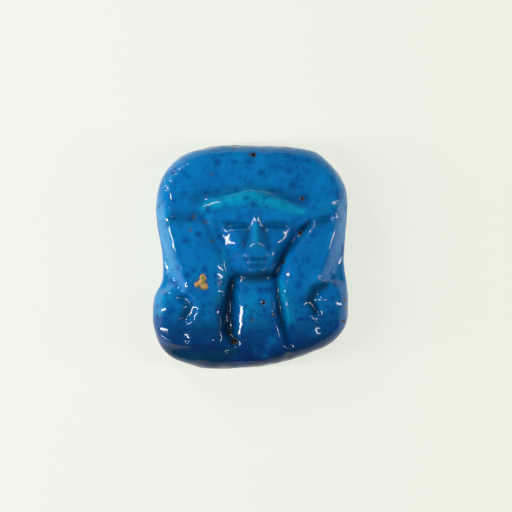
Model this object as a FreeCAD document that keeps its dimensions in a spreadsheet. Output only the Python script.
"""Hathor-head amulet of blue glazed faience, lying flat on its back.

A quartz-paste body was pressed into an open mould round a wire, which left the thread hole
that runs lengthwise through it. The glaze fired over all its outer faces, and a cluster of
coarse grains and a single one sit in the glaze's surface.

Frame: millimetres, +Z out of the relief, +Y towards the crown, +X to the viewer's right.
The origin is the centre of the flat back.
"""

import FreeCAD, Part
import math
import os
import Sketcher
from FreeCAD import Placement, Rotation, Vector

# Driving dimensions, in millimetres and degrees
SIZES = [
    ("body_width", 12.2, "across the curls"),
    ("body_height", 14.0, "crown to foot"),
    ("body_depth", 2.5, "back to the flat of the front, without the relief"),
    ("front_round", 1.05, "rounding of the front edge, made by three bevels"),
    ("back_bevel", 0.2, "bevel of the back edge"),
    ("core_bevel", 0.62, "bevel of the paste's front edge, under the glaze"),
    ("glaze_wall", 0.15, "thickness of the glaze outside"),
    ("hole_radius", 0.33, "thread hole"),
    ("hole_left", 0.97, "thread hole, left of the middle"),
    ("hole_height", 1.55, "thread hole, above the back"),
    ("relief_foot", 2.1, "height above the back where the raised forms start"),
    ("crown_width", 2.9, "swelling of the crown, brow to top"),
    ("crown_rise", 1.02, "swelling of the crown, above the relief's foot"),
    ("lappet_width", 3.3, "widest part of a wig lappet"),
    ("lappet_rise", 1.34, "lappet, above the relief's foot"),
    ("column_width", 2.9, "foot of the column under the chin"),
    ("column_rise", 1.15, "column, above the relief's foot"),
    ("face_width", 6.0, "face, across the brows"),
    ("face_height", 3.5, "brow line to chin"),
    ("face_rise", 1.35, "cheeks, above the relief's foot"),
    ("face_middle", 0.36, "middle line of face and column, right of the body's middle"),
    ("brow_line", 2.35, "lower edge of the forehead roll, above the body's middle"),
    ("recess_floor", 2.42, "floor round the face, above the back"),
    ("recess_left_margin", 0.15, "gap left of the face and under it in its recess"),
    ("recess_right_margin", 0.35, "gap right of the face in its recess"),
    ("recess_draft", 20.0, "slope of the recess walls, in degrees"),
    ("roll_length", 6.5, "forehead roll"),
    ("roll_middle", 0.14, "middle of the forehead roll, right of the body's middle"),
    ("roll_width", 2.1, "forehead roll, at its thickest"),
    ("roll_rise", 1.72, "forehead roll, above the relief's foot"),
    ("ear_length", 2.95, "cow's ear"),
    ("ear_width", 1.5, "cow's ear, at its widest"),
    ("ear_rise", 1.2, "cow's ear, above the relief's foot"),
    ("channel_radius", 0.42, "widest part of the channels beside the column"),
    ("channel_height", 2.74, "axis of the channels, above the back"),
    ("curl_radius", 1.1, "ring of a curl, to the middle of its roll"),
    ("curl_roll", 0.6, "half the thickness of a curl's roll"),
    ("curl_height", 2.42, "axis of a curl's roll, above the back"),
    ("curl_eye", 0.78, "radius of the hollow inside a curl"),
    ("curl_knob", 0.42, "radius of the knob inside a curl"),
    ("eye_hollow", 0.8, "radius that hollows an eye socket"),
    ("eye_spacing", 2.4, "between the eye sockets"),
    ("eye_length", 1.9, "eye socket"),
    ("eye_depth", 0.3, "eye socket, below the cheek"),
    ("feature_root", 0.15, "depth to which nose, lips and chin reach into the cheeks"),
    ("nose_length", 1.45, "brow to tip of the nose"),
    ("nose_width", 1.0, "tip of the nose"),
    ("nose_rise", 0.42, "tip of the nose, above the cheeks"),
    ("lip_width", 1.25, "mouth"),
    ("lip_height", 0.3, "one lip"),
    ("lip_rise", 0.12, "lips, above the cheeks"),
    ("chin_width", 0.95, "swelling of the chin"),
    ("chin_rise", 0.12, "chin, above the cheeks"),
    ("grit_radius", 0.3, "one ochre grain of the cluster on the lappet"),
    ("grit_thickness", 0.3, "thickness of a grain"),
    ("ear_grit_radius", 0.19, "grain below the ear"),
    ("overrun", 1.0, "length by which cuts pass the body"),
]

# Corners of the outline, anticlockwise from the top left, as shares of half the width and
# half the height; each is rounded as far as this share of its shorter side
OUTLINE_SHARES = [
    (-0.349, 1.007), (-0.739, 0.913), (-0.940, 0.690), (-0.982, 0.380), (-0.895, 0.040),
    (-0.902, -0.223), (-0.992, -0.340), (-1.008, -0.610), (-0.885, -0.870), (-0.482, -1.003),
    (0.230, -0.973), (0.807, -0.791), (1.000, -0.610), (1.003, -0.300), (0.951, -0.090),
    (1.000, 0.560), (0.911, 0.757), (0.674, 0.956), (0.380, 0.993),
]
OUTLINE_ROUND_SHARE = 0.45

# Setbacks of the bevels that stand for the rounding of the front edge, as shares of its radius:
# the first bevel, then the two that break its own edges
FIRST_BEVEL_SHARE = 0.586
SECOND_BEVEL_SHARE = 0.215

# Cross-sections of the crown's swelling from left to right: share of half the width, share
# of half the height, then shares of the swelling's full width and rise
CROWN_SHARES = [
    (-0.72, 0.66, 0.30, 0.55), (-0.50, 0.73, 0.76, 0.86), (-0.20, 0.76, 1.0, 1.0),
    (0.15, 0.76, 1.0, 1.0), (0.48, 0.73, 0.78, 0.86), (0.72, 0.66, 0.30, 0.55),
]

# Cross-sections of the lappets, crown to foot: place as shares of half the width and half
# the height, then shares of the lappet's full width and full rise
LEFT_LAPPET_SHARES = [
    (-0.66, 0.34, 0.90, 0.90), (-0.55, 0.11, 1.00, 1.00), (-0.47, -0.10, 0.98, 1.00),
    (-0.46, -0.30, 0.84, 0.94), (-0.47, -0.52, 0.70, 0.74), (-0.48, -0.76, 0.54, 0.40),
]
RIGHT_LAPPET_SHARES = [
    (0.71, 0.34, 0.76, 0.90), (0.61, 0.11, 0.84, 1.00), (0.51, -0.10, 0.84, 1.00),
    (0.475, -0.30, 0.70, 0.94), (0.495, -0.52, 0.62, 0.74), (0.53, -0.76, 0.50, 0.40),
]

# Cross-sections of the face, brow to chin: shares of its height, width and rise
FACE_SHARES = [(-0.06, 1.02, 0.86), (0.35, 0.80, 1.0), (0.75, 0.52, 1.0), (1.0, 0.36, 0.86)]

# Middles of the eye sockets and of the mouth, below the brow, as shares of the face's height
EYE_LINE_SHARE = 0.16
MOUTH_SHARE = 0.66

# Cross-sections of the nose, brow to tip: shares of its length, width and full rise
NOSE_SHARES = [(0.0, 0.55, 0.45), (0.85, 0.95, 0.98), (1.05, 0.9, 0.60)]

# Cross-sections of a lip or the chin, left to right: shares of its length, height and full
# rise; then how far the lips lie off the mouth's line as a share of their height, the lower
# lip's share of the mouth's width, and the chin's height as a share of its width
LIP_SHARES = [(-0.5, 0.35, 0.30), (0.0, 1.0, 1.0), (0.5, 0.35, 0.30)]
LIP_SPREAD_SHARE = 0.45
LOWER_LIP_SHARE = 0.8
CHIN_HEIGHT_SHARE = 0.8

# Cross-sections of the column, chin to foot: place as a share of half the height, then
# shares of its width and rise
COLUMN_SHARES = [(-0.15, 0.62, 1.0), (-0.50, 0.80, 0.94), (-0.72, 0.94, 0.78), (-0.87, 1.02, 0.34)]

# Channels beside the column: shares of half the width and half the height, then of the
# channel's radius
LEFT_CHANNEL_SHARES = [(-0.13, -0.10, 0.62), (-0.20, -0.45, 1.0), (-0.235, -0.80, 0.72)]
RIGHT_CHANNEL_SHARES = [(0.215, -0.14, 0.60), (0.275, -0.48, 0.80), (0.37, -0.84, 0.66)]

# Cross-sections of the forehead roll from left to right: share of its length, its middle
# above the brow line as a share of its width, then shares of its width and rise
ROLL_SHARES = [
    (-0.5, 0.36, 0.28, 0.56), (-0.36, 0.43, 0.66, 0.80), (-0.12, 0.53, 0.94, 0.98),
    (0.08, 0.54, 0.96, 1.0), (0.34, 0.44, 0.70, 0.82), (0.5, 0.36, 0.28, 0.56),
]

# Cross-sections of an ear from the forehead to its tip: share of its length, then shares
# of its width and rise
EAR_SHARES = [(0.0, 0.62, 0.90), (0.35, 1.0, 1.0), (0.72, 0.86, 0.90), (1.0, 0.36, 0.60)]

# Ends of the ears at the forehead, as shares of half the width and half the height, and
# how far the tips lie towards the crown, as a share of the ear's length
LEFT_EAR_SHARES = (-0.445, 0.392)
RIGHT_EAR_SHARES = (0.475, 0.392)
EAR_CLIMB_SHARE = 0.32

# Middles of the curls as shares of half the width and half the height, and how far inwards
# the hollow of a curl lies, as a share of its radius
LEFT_CURL_SHARES = (-0.675, -0.45)
RIGHT_CURL_SHARES = (0.698, -0.40)
CURL_EYE_SHARE = 0.2

# Straight runs that stand for rounded sections, as shares of the section's half width and
# rise or of its radius
CREST_SHARES = [
    (-1.0, 0.0), (1.0, 0.0), (0.84, 0.32), (0.58, 0.68), (0.2, 0.97), (-0.2, 0.97), (-0.58, 0.68), (-0.84, 0.32),
]
SMALL_CREST_SHARES = [(-1.0, 0.0), (1.0, 0.0), (0.68, 0.54), (0.27, 0.93), (-0.27, 0.93), (-0.68, 0.54)]
TROUGH_SHARES = [(-1.0, 1.0), (-1.0, -0.42), (-0.42, -1.0), (0.42, -1.0), (1.0, -0.42), (1.0, 1.0)]
ROLL_SECTION_SHARES = [
    (1.0, 0.0), (0.81, 0.59), (0.31, 0.95), (-0.31, 0.95), (-0.81, 0.59),
    (-1.0, 0.0), (-0.81, -0.59), (-0.31, -0.95), (0.31, -0.95), (0.81, -0.59),
]
BOWL_SHARES = [(0.0, -1.0), (0.84, -1.0), (1.04, 0.1), (1.04, 1.0), (0.0, 1.0)]
KNOB_SHARES = [(0.0, 0.98), (0.38, 0.9), (0.8, 0.52), (0.98, 0.0), (0.98, -1.0), (0.0, -1.0)]

# Middles of the grains of the lappet's cluster and of the grain below the ear; then how deep
# a grain sinks as a share of its thickness, below the lowest spot of glaze under it, which is
# this share of a grain wide
LAPPET_GRIT_SHARES = [(-0.484, -0.190), (-0.528, -0.228), (-0.466, -0.246)]
EAR_GRIT_SHARES = (-0.466, 0.317)
SUNK_SHARE = 0.4
SPOT_SHARE = 0.25


doc = FreeCAD.newDocument("hathor_head_amulet")


def make_sheet():
    """The spreadsheet that drives every sub-part."""
    sheet = doc.addObject("Spreadsheet::Sheet", "dims")
    for row, (alias, value, note) in enumerate(SIZES, start=1):
        sheet.set(f"A{row}", alias)
        sheet.set(f"B{row}", str(value))
        sheet.set(f"C{row}", note)
        sheet.setAlias(f"B{row}", alias)
    doc.recompute()
    return sheet


sheet = make_sheet()


def size(alias):
    """The value of a driving dimension."""
    return float(sheet.get(alias))


def across(share):
    """Expression for a place across the body, from a share of half its width."""
    return f"dims.body_width / 2 * ({share})"


def along(share):
    """Expression for a place along the body, from a share of half its height."""
    return f"dims.body_height / 2 * ({share})"


def value_of(expression):
    """The value of an expression in driving dimensions, for a sketch's first shape."""
    return float(sheet.evalExpression(expression))


class Form:
    """A body with the amulet's form: the glaze's outside, or the paste drawn in under it."""

    def __init__(self, name, inset, is_glaze):
        self.body = doc.addObject("PartDesign::Body", name)
        self.inset = inset
        self.is_glaze = is_glaze

    def attach(self, item, role, base):
        """Attach a sketch or a primitive to one of the body's own origin planes."""
        planes = self.body.Origin.OriginFeatures
        plane = next(entry for entry in planes if entry.Role == role)
        item.AttachmentSupport = [(plane, "")]
        item.MapMode = "FlatFace"
        for axis, expression in zip("xyz", base):
            item.setExpression(f"AttachmentOffset.Base.{axis}", expression)

    def sketch(self, name, role, base=("0", "0", "0")):
        """A new sketch on one of the origin planes."""
        sketch = self.body.newObject("Sketcher::SketchObject", name)
        self.attach(sketch, role, base)
        return sketch

    def feature(self, kind, name, **settings):
        """A new feature with its settings; text settings are expressions."""
        feature = self.body.newObject(f"PartDesign::{kind}", name)
        feature.Refine = False
        for key, setting in settings.items():
            if isinstance(setting, str):
                feature.setExpression(key, setting)
            else:
                setattr(feature, key, setting)
        return feature

    def ridge(self, name, foot, width, rise, stations, sideways=False, is_small=False):
        """A raised form lofted through arches, crown to foot or sideways.

        Each station is a place across and along, and shares of the width and rise. The
        first and last sections are drawn in by the glaze too. Small forms and the hidden
        paste have arches of fewer runs.
        """
        runs = CREST_SHARES if self.is_glaze and not is_small else SMALL_CREST_SHARES
        sections = []
        last = len(stations) - 1
        for number, (x, y, width_share, rise_share) in enumerate(stations):
            half_width = f"{width} / 2 * {width_share} - {self.inset}"
            height = f"{rise} * {rise_share} - {self.inset}"
            draw_in = {0: f"+ {self.inset}", last: f"- {self.inset}"}.get(number, "")
            if sideways:
                section = self.sketch(f"{name}_section_{number}", "YZ_Plane", (y, foot, f"{x} {draw_in}"))
            else:
                section = self.sketch(f"{name}_section_{number}", "XZ_Plane", (x, foot, f"-({y}) {draw_in}"))
            arch(section, half_width, height, runs)
            sections.append(section)
        self.feature("AdditiveLoft", name, Profile=sections[0], Sections=sections[1:])

    def channel(self, name, height, radius, stations):
        """A groove lofted through round sections from crown to foot of the body."""
        sections = []
        last = len(stations) - 1
        for number, (x, y, share) in enumerate(stations):
            reach = {0: f"- {self.inset}", last: f"+ {self.inset}"}.get(number, "")
            section = self.sketch(f"{name}_section_{number}", "XZ_Plane", (x, height, f"-({y}) {reach}"))
            trough(section, f"{radius} * {share} + {self.inset}")
            sections.append(section)
        self.feature("SubtractiveLoft", name, Profile=sections[0], Sections=sections[1:])

    def turned(self, kind, name, base, points):
        """A form turned about an upright axis through the base, from a profile of straight runs."""
        x, y, z = base
        profile = self.sketch(f"{name}_profile", "XZ_Plane", (x, z, f"-({y})"))
        polygon(profile, points)
        self.feature(kind, name, Profile=profile, ReferenceAxis=(profile, ["V_Axis"]), Angle=360.0)

    def slab(self):
        """The cushion that carries the relief."""
        outline = self.sketch("outline", "XY_Plane", ("0", "0", self.inset))
        rounded_outline(outline, self.inset)
        self.feature("Pad", "cushion", Profile=outline, Length=f"dims.body_depth - 2 * {self.inset}")
        doc.recompute()
        if self.is_glaze:
            self.bevel("back_edge", "dims.back_bevel", front=False)
            self.bevel("front_edge", f"dims.front_round * {FIRST_BEVEL_SHARE}", front=True)
            self.bevel("front_edge_break", f"dims.front_round * {SECOND_BEVEL_SHARE}", front=True)
        else:
            self.bevel("front_edge", "dims.core_bevel", front=True)

    def bevel(self, name, setback, front):
        """Bevel the level edges round the front or the back."""
        tip = self.body.Tip
        middle = value_of("dims.body_depth / 2")
        names = [
            f"Edge{number}" for number, edge in enumerate(tip.Shape.Edges, start=1)
            if is_level(edge) and (edge.CenterOfMass.z > middle) == front
        ]
        self.feature("Chamfer", name, Base=(tip, names), Size=setback)
        doc.recompute()

    def crown(self):
        """The swelling of the crown above the forehead roll."""
        stations = [(across(x), along(y), wide, high) for x, y, wide, high in CROWN_SHARES]
        self.ridge("crown", "dims.relief_foot", "dims.crown_width", "dims.crown_rise", stations, sideways=True)

    def lappets(self):
        """The two locks of the wig that fall beside the face to the curls."""
        for name, shares in (("left_lappet", LEFT_LAPPET_SHARES), ("right_lappet", RIGHT_LAPPET_SHARES)):
            stations = [(across(x), along(y), wide, high) for x, y, wide, high in shares]
            self.ridge(name, "dims.relief_foot", "dims.lappet_width", "dims.lappet_rise", stations)

    def recess(self):
        """The sunk field round the face, wider on the right, with sloping walls."""
        chin_share = FACE_SHARES[-1][1]
        left_top = "dims.face_middle - dims.face_width / 2 - dims.recess_left_margin"
        right_top = "dims.face_middle + dims.face_width / 2 + dims.recess_right_margin"
        left_foot = f"dims.face_middle - dims.face_width / 2 * {chin_share} - dims.recess_left_margin"
        right_foot = f"dims.face_middle + dims.face_width / 2 * {chin_share} + dims.recess_right_margin"
        top = f"dims.brow_line + {self.inset}"
        foot = f"dims.brow_line - dims.face_height - dims.recess_left_margin - {self.inset}"
        field = self.sketch("recess_field", "XY_Plane", ("0", "0", f"dims.recess_floor - {self.inset}"))
        polygon(field, [
            (f"{left_top} - {self.inset}", top), (f"{left_foot} - {self.inset}", foot),
            (f"{right_foot} + {self.inset}", foot), (f"{right_top} + {self.inset}", top),
        ])
        self.feature("Pocket", "recess", Profile=field, Reversed=True, Length="dims.body_depth",
                     TaperAngle="dims.recess_draft")

    def face(self):
        """The face: a broad brow that narrows to the chin."""
        stations = [
            ("dims.face_middle", f"dims.brow_line - dims.face_height * {share}", wide, high)
            for share, wide, high in FACE_SHARES
        ]
        self.ridge("face", "dims.relief_foot", "dims.face_width", "dims.face_rise", stations)
        eye_line = f"dims.brow_line - dims.face_height * {EYE_LINE_SHARE}"
        height = "dims.relief_foot + dims.face_rise - dims.eye_depth + dims.eye_hollow"
        for name, side in (("left_eye", "-"), ("right_eye", "+")):
            middle = f"dims.face_middle {side} dims.eye_spacing / 2"
            socket = self.sketch(f"{name}_profile", "YZ_Plane", (eye_line, height, middle))
            circle(socket, f"dims.eye_hollow + {self.inset}")
            self.feature("Pocket", name, Profile=socket, Midplane=True,
                         Length=f"dims.eye_length + 2 * {self.inset}")

    def features_of_the_face(self):
        """Nose, lips and chin, whose relief is little thicker than the glaze."""
        foot = "dims.relief_foot + dims.face_rise - dims.feature_root"
        nose = [
            ("dims.face_middle", f"dims.brow_line - dims.nose_length * {share}", wide, high)
            for share, wide, high in NOSE_SHARES
        ]
        self.ridge("nose", foot, "dims.nose_width", "(dims.nose_rise + dims.feature_root)", nose, is_small=True)
        mouth = f"dims.brow_line - dims.face_height * {MOUTH_SHARE}"
        for name, side, length_share in (("upper_lip", "+", 1), ("lower_lip", "-", LOWER_LIP_SHARE)):
            lip = [
                (f"dims.face_middle + dims.lip_width * ({share * length_share})",
                 f"({mouth} {side} dims.lip_height * {LIP_SPREAD_SHARE})", wide, high)
                for share, wide, high in LIP_SHARES
            ]
            self.ridge(name, foot, "dims.lip_height", "(dims.lip_rise + dims.feature_root)", lip,
                       sideways=True, is_small=True)
        chin = [
            (f"dims.face_middle + dims.chin_width * ({share})",
             "dims.brow_line - dims.face_height + dims.chin_width / 2", wide, high)
            for share, wide, high in LIP_SHARES
        ]
        self.ridge("chin", foot, f"dims.chin_width * {CHIN_HEIGHT_SHARE}", "(dims.chin_rise + dims.feature_root)",
                   chin, sideways=True, is_small=True)

    def column(self):
        """The column under the chin and the deep channels that part it from the lappets."""
        stations = [("dims.face_middle", along(y), wide, high) for y, wide, high in COLUMN_SHARES]
        self.ridge("column", "dims.relief_foot", "dims.column_width", "dims.column_rise", stations)
        for name, shares in (("left_channel", LEFT_CHANNEL_SHARES), ("right_channel", RIGHT_CHANNEL_SHARES)):
            places = [(across(x), along(y), share) for x, y, share in shares]
            self.channel(name, "dims.channel_height", "dims.channel_radius", places)

    def forehead(self):
        """The roll of hair over the brow and the cow's ears at its ends."""
        roll = [
            (f"dims.roll_middle + dims.roll_length * ({share})",
             f"(dims.brow_line + dims.roll_width * {middle})", wide, high)
            for share, middle, wide, high in ROLL_SHARES
        ]
        self.ridge("roll", "dims.relief_foot", "dims.roll_width", "dims.roll_rise", roll, sideways=True)
        for name, (x, y), side in (("left_ear", LEFT_EAR_SHARES, -1), ("right_ear", RIGHT_EAR_SHARES, 1)):
            shares = EAR_SHARES if side > 0 else EAR_SHARES[::-1]
            stations = [
                (f"{across(x)} + dims.ear_length * ({side * share})",
                 f"({along(y)} + dims.ear_length * {EAR_CLIMB_SHARE} * {share})", wide, high)
                for share, wide, high in shares
            ]
            self.ridge(name, "dims.relief_foot", "dims.ear_width", "dims.ear_rise", stations, sideways=True)

    def curls(self):
        """The outward curls at the foot of the lappets, each round a hollow with a knob."""
        for name, (x, y), inwards in (("left_curl", LEFT_CURL_SHARES, 1), ("right_curl", RIGHT_CURL_SHARES, -1)):
            ring = (across(x), along(y), "dims.curl_height")
            roll = f"(dims.curl_roll - {self.inset})"
            self.turned("Revolution", name, ring, [
                (f"{inwards} * (dims.curl_radius + {roll} * ({wide}))", f"{roll} * ({high})")
                for wide, high in ROLL_SECTION_SHARES
            ])
            inner = (f"{across(x)} + {inwards} * dims.curl_radius * {CURL_EYE_SHARE}", along(y),
                     "dims.curl_height + dims.curl_roll")
            bowl = f"(dims.curl_eye + {self.inset})"
            self.turned("Groove", f"{name}_eye", inner, [
                (f"{inwards} * {bowl} * {wide}", f"{bowl} * ({high})") for wide, high in BOWL_SHARES
            ])
            if self.is_glaze:
                middle = (across(x), along(y), "dims.curl_height + dims.curl_roll - dims.curl_eye")
                self.turned("Revolution", f"{name}_knob", middle, [
                    (f"{inwards} * dims.curl_knob * {wide}", f"dims.curl_knob * ({high})")
                    for wide, high in KNOB_SHARES
                ])

    def thread_hole(self):
        """The hole that the wire left, from the crown to the foot."""
        mouth = self.sketch("thread_hole_mouth", "XZ_Plane", ("-dims.hole_left", "dims.hole_height", "0"))
        circle(mouth, "dims.hole_radius")
        self.feature("Pocket", "thread_hole", Profile=mouth, Midplane=True,
                     Length="dims.body_height + 2 * dims.overrun")

    def build(self):
        """The whole form, from the cushion to the thread hole."""
        self.slab()
        self.crown()
        self.lappets()
        self.recess()
        self.face()
        if self.is_glaze:
            self.features_of_the_face()
        self.column()
        self.forehead()
        self.curls()
        self.thread_hole()
        return self.body


def is_level(edge):
    """True for an edge that lies in a level plane."""
    return edge.BoundBox.ZLength < edge.Length / 2


def bind(sketch, expression, kind, *places):
    """Add a dimension to a sketch, bound to an expression."""
    number = sketch.addConstraint(Sketcher.Constraint(kind, *places, value_of(expression)))
    sketch.setExpression(f"Constraints[{number}]", expression)


def circle(sketch, radius):
    """A circle round the sketch's origin."""
    ring = sketch.addGeometry(Part.Circle(Vector(), Vector(0, 0, 1), value_of(radius)))
    sketch.addConstraint(Sketcher.Constraint("Coincident", ring, 3, -1, 1))
    bind(sketch, radius, "Radius", ring)


def polygon(sketch, corners):
    """A closed outline of straight lines through corners given as expressions."""
    points = [Vector(value_of(x), value_of(y), 0) for x, y in corners]
    count = len(points)
    lines = [sketch.addGeometry(Part.LineSegment(points[i], points[(i + 1) % count])) for i in range(count)]
    for line, following in zip(lines, lines[1:] + lines[:1]):
        sketch.addConstraint(Sketcher.Constraint("Coincident", line, 2, following, 1))
    for line, (x, y) in zip(lines, corners):
        bind(sketch, x, "DistanceX", -1, 1, line, 1)
        bind(sketch, y, "DistanceY", -1, 1, line, 1)


def arch(sketch, half_width, rise, runs):
    """Straight runs round a crest, over a chord on the sketch's X axis."""
    polygon(sketch, [(f"({half_width}) * ({wide})", f"({rise}) * {high}") for wide, high in runs])


def trough(sketch, radius):
    """Straight runs round the foot of a channel, open upwards."""
    polygon(sketch, [(f"({radius}) * ({wide})", f"({radius}) * ({high})") for wide, high in TROUGH_SHARES])


def outline_corners():
    """The outline's corners: place, draw-in direction, turn and radius of rounding."""
    wide, high = value_of("dims.body_width / 2"), value_of("dims.body_height / 2")
    places = [Vector(x * wide, y * high, 0) for x, y in OUTLINE_SHARES]
    count = len(places)
    corners = []
    for number, place in enumerate(places):
        before, after = place - places[number - 1], places[(number + 1) % count] - place
        reach = OUTLINE_ROUND_SHARE * min(before.Length, after.Length)
        before.normalize()
        after.normalize()
        turn = math.atan2(before.cross(after).z, before.dot(after))
        inwards = Vector(-before.y - after.y, before.x + after.x, 0) / (1 + before.dot(after))
        corners.append((place, inwards, turn, reach / math.tan(abs(turn) / 2)))
    return corners


def rounded_outline(sketch, inset):
    """The outline, drawn in: straight sides with tangent arcs at every corner."""
    wide = value_of("dims.body_width / 2")
    shift = value_of(inset)
    guides, arcs, ends = [], [], []
    corners = outline_corners()
    for (x, y), (place, inwards, turn, radius) in zip(OUTLINE_SHARES, corners):
        bend = 1 if turn > 0 else -1
        corner = place + inwards * shift
        drawn = radius - bend * shift
        guides.append((corner, f"{across(x)} + ({inwards.x}) * {inset}", f"{along(y)} + ({inwards.y}) * {inset}"))
        arcs.append((bend, drawn, f"dims.body_width / 2 * {radius / wide} - {bend} * {inset}"))
        ends.append(drawn * math.tan(abs(turn) / 2))
    count = len(corners)
    frame = [
        sketch.addGeometry(Part.LineSegment(guides[i][0], guides[(i + 1) % count][0]), True) for i in range(count)
    ]
    for i, side in enumerate(frame):
        sketch.addConstraint(Sketcher.Constraint("Coincident", side, 2, frame[(i + 1) % count], 1))
    for side, (_, x, y) in zip(frame, guides):
        bind(sketch, x, "DistanceX", -1, 1, side, 1)
        bind(sketch, y, "DistanceY", -1, 1, side, 1)
    runs = []
    for i in range(count):
        start, end = guides[i][0], guides[(i + 1) % count][0]
        along_side = (end - start).normalize()
        run = Part.LineSegment(start + along_side * ends[i], end - along_side * ends[(i + 1) % count])
        runs.append(sketch.addGeometry(run))
    for i, (bend, drawn, expression) in enumerate(arcs):
        run_in, run_out = runs[i - 1], runs[i]
        first, last = sketch.getPoint(run_in, 2), sketch.getPoint(run_out, 1)
        direction = (guides[i][0] - guides[i - 1][0]).normalize()
        middle = first + Vector(-direction.y, direction.x, 0) * drawn * bend
        crest = middle + (guides[i][0] - middle).normalize() * drawn
        rounding = sketch.addGeometry(Part.Arc(first, crest, last))
        begin, finish = (1, 2) if bend > 0 else (2, 1)
        sketch.addConstraint([
            Sketcher.Constraint("PointOnObject", run_out, 1, frame[i]),
            Sketcher.Constraint("PointOnObject", run_out, 2, frame[i]),
            Sketcher.Constraint("Tangent", run_in, 2, rounding, begin),
            Sketcher.Constraint("Tangent", rounding, finish, run_out, 1),
        ])
        bind(sketch, expression, "Radius", rounding)


def surface_height(shape, x, y, reach):
    """Height of a shape's front above a small round spot of the back."""
    pin = Part.makeCylinder(reach, shape.BoundBox.ZMax, Vector(x, y, 0))
    return shape.common(pin).optimalBoundingBox(False).ZMax


def grains(name, places, radius, carrier):
    """Flat six-sided grains on one level, sunk into the glaze's surface."""
    wide = value_of(radius)
    spots = [(value_of(across(x)), value_of(along(y))) for x, y in places]
    lowest = min(surface_height(carrier.Shape, x, y, wide * SPOT_SHARE) for x, y in spots)
    level = lowest - size("grit_thickness") * SUNK_SHARE
    made = []
    for number, (x, y) in enumerate(spots, start=1):
        flat = doc.addObject("Part::Prism", f"{name}_{number}")
        flat.Polygon = 6
        flat.setExpression("Circumradius", radius)
        flat.setExpression("Height", "dims.grit_thickness")
        flat.Placement = Placement(Vector(x, y, level), Rotation())
        made.append(flat)
    return made


def combine(kind, name, **parts):
    """A boolean of finished shapes."""
    result = doc.addObject(f"Part::{kind}", name)
    for key, part in parts.items():
        setattr(result, key, part)
    return result


def make_grit(carrier):
    """The ochre cluster on the left lappet and the grain below the left ear."""
    cluster = grains("lappet_grain", LAPPET_GRIT_SHARES, "dims.grit_radius", carrier)
    lappet_grit = combine("MultiFuse", "lappet_grit", Shapes=cluster)
    ear_grit = grains("ear_grain", [EAR_GRIT_SHARES], "dims.ear_grit_radius", carrier)[0]
    ear_grit.Label = "ear_grit"
    return lappet_grit, ear_grit


def check_document():
    """Stop if any object of the document failed or is empty."""
    for item in doc.Objects:
        if "Invalid" in item.State or "Error" in item.State:
            raise RuntimeError(f"{item.Label}: {item.State}")


def check_sub_part(item):
    """Stop if a sub-part is not one sound solid."""
    shape = item.Shape
    if shape.isNull() or not shape.isValid() or len(shape.Solids) != 1:
        raise RuntimeError(f"{item.Label} is not one sound solid")


def write_sub_part(item):
    """Write a sub-part under its own name."""
    item.Shape.exportStep(f"parts/{item.Label}.step")
    box = item.Shape.optimalBoundingBox(False)
    print(f"{item.Label}: {item.Shape.Volume:.3f} mm3, {len(item.Shape.Faces)} faces, "
          f"x {box.XMin:.2f}..{box.XMax:.2f}, y {box.YMin:.2f}..{box.YMax:.2f}, z {box.ZMin:.2f}..{box.ZMax:.2f}")


def main():
    """Build, check and write the four sub-parts."""
    glaze_form = Form("glaze_form", "0", is_glaze=True).build()
    core_form = Form("core_form", "dims.glaze_wall", is_glaze=False).build()
    doc.recompute()
    check_document()
    lappet_grit, ear_grit = make_grit(glaze_form)
    grit = combine("MultiFuse", "grit", Shapes=[lappet_grit, ear_grit])
    faience_core = combine("Cut", "faience_core", Base=core_form, Tool=grit)
    filling = combine("MultiFuse", "filling", Shapes=[core_form, grit])
    glaze_coat = combine("Cut", "glaze_coat", Base=glaze_form, Tool=filling)
    doc.recompute()
    check_document()
    sub_parts = [faience_core, glaze_coat, lappet_grit, ear_grit]
    for item in sub_parts:
        check_sub_part(item)
    os.makedirs("parts", exist_ok=True)
    for item in sub_parts:
        write_sub_part(item)


main()
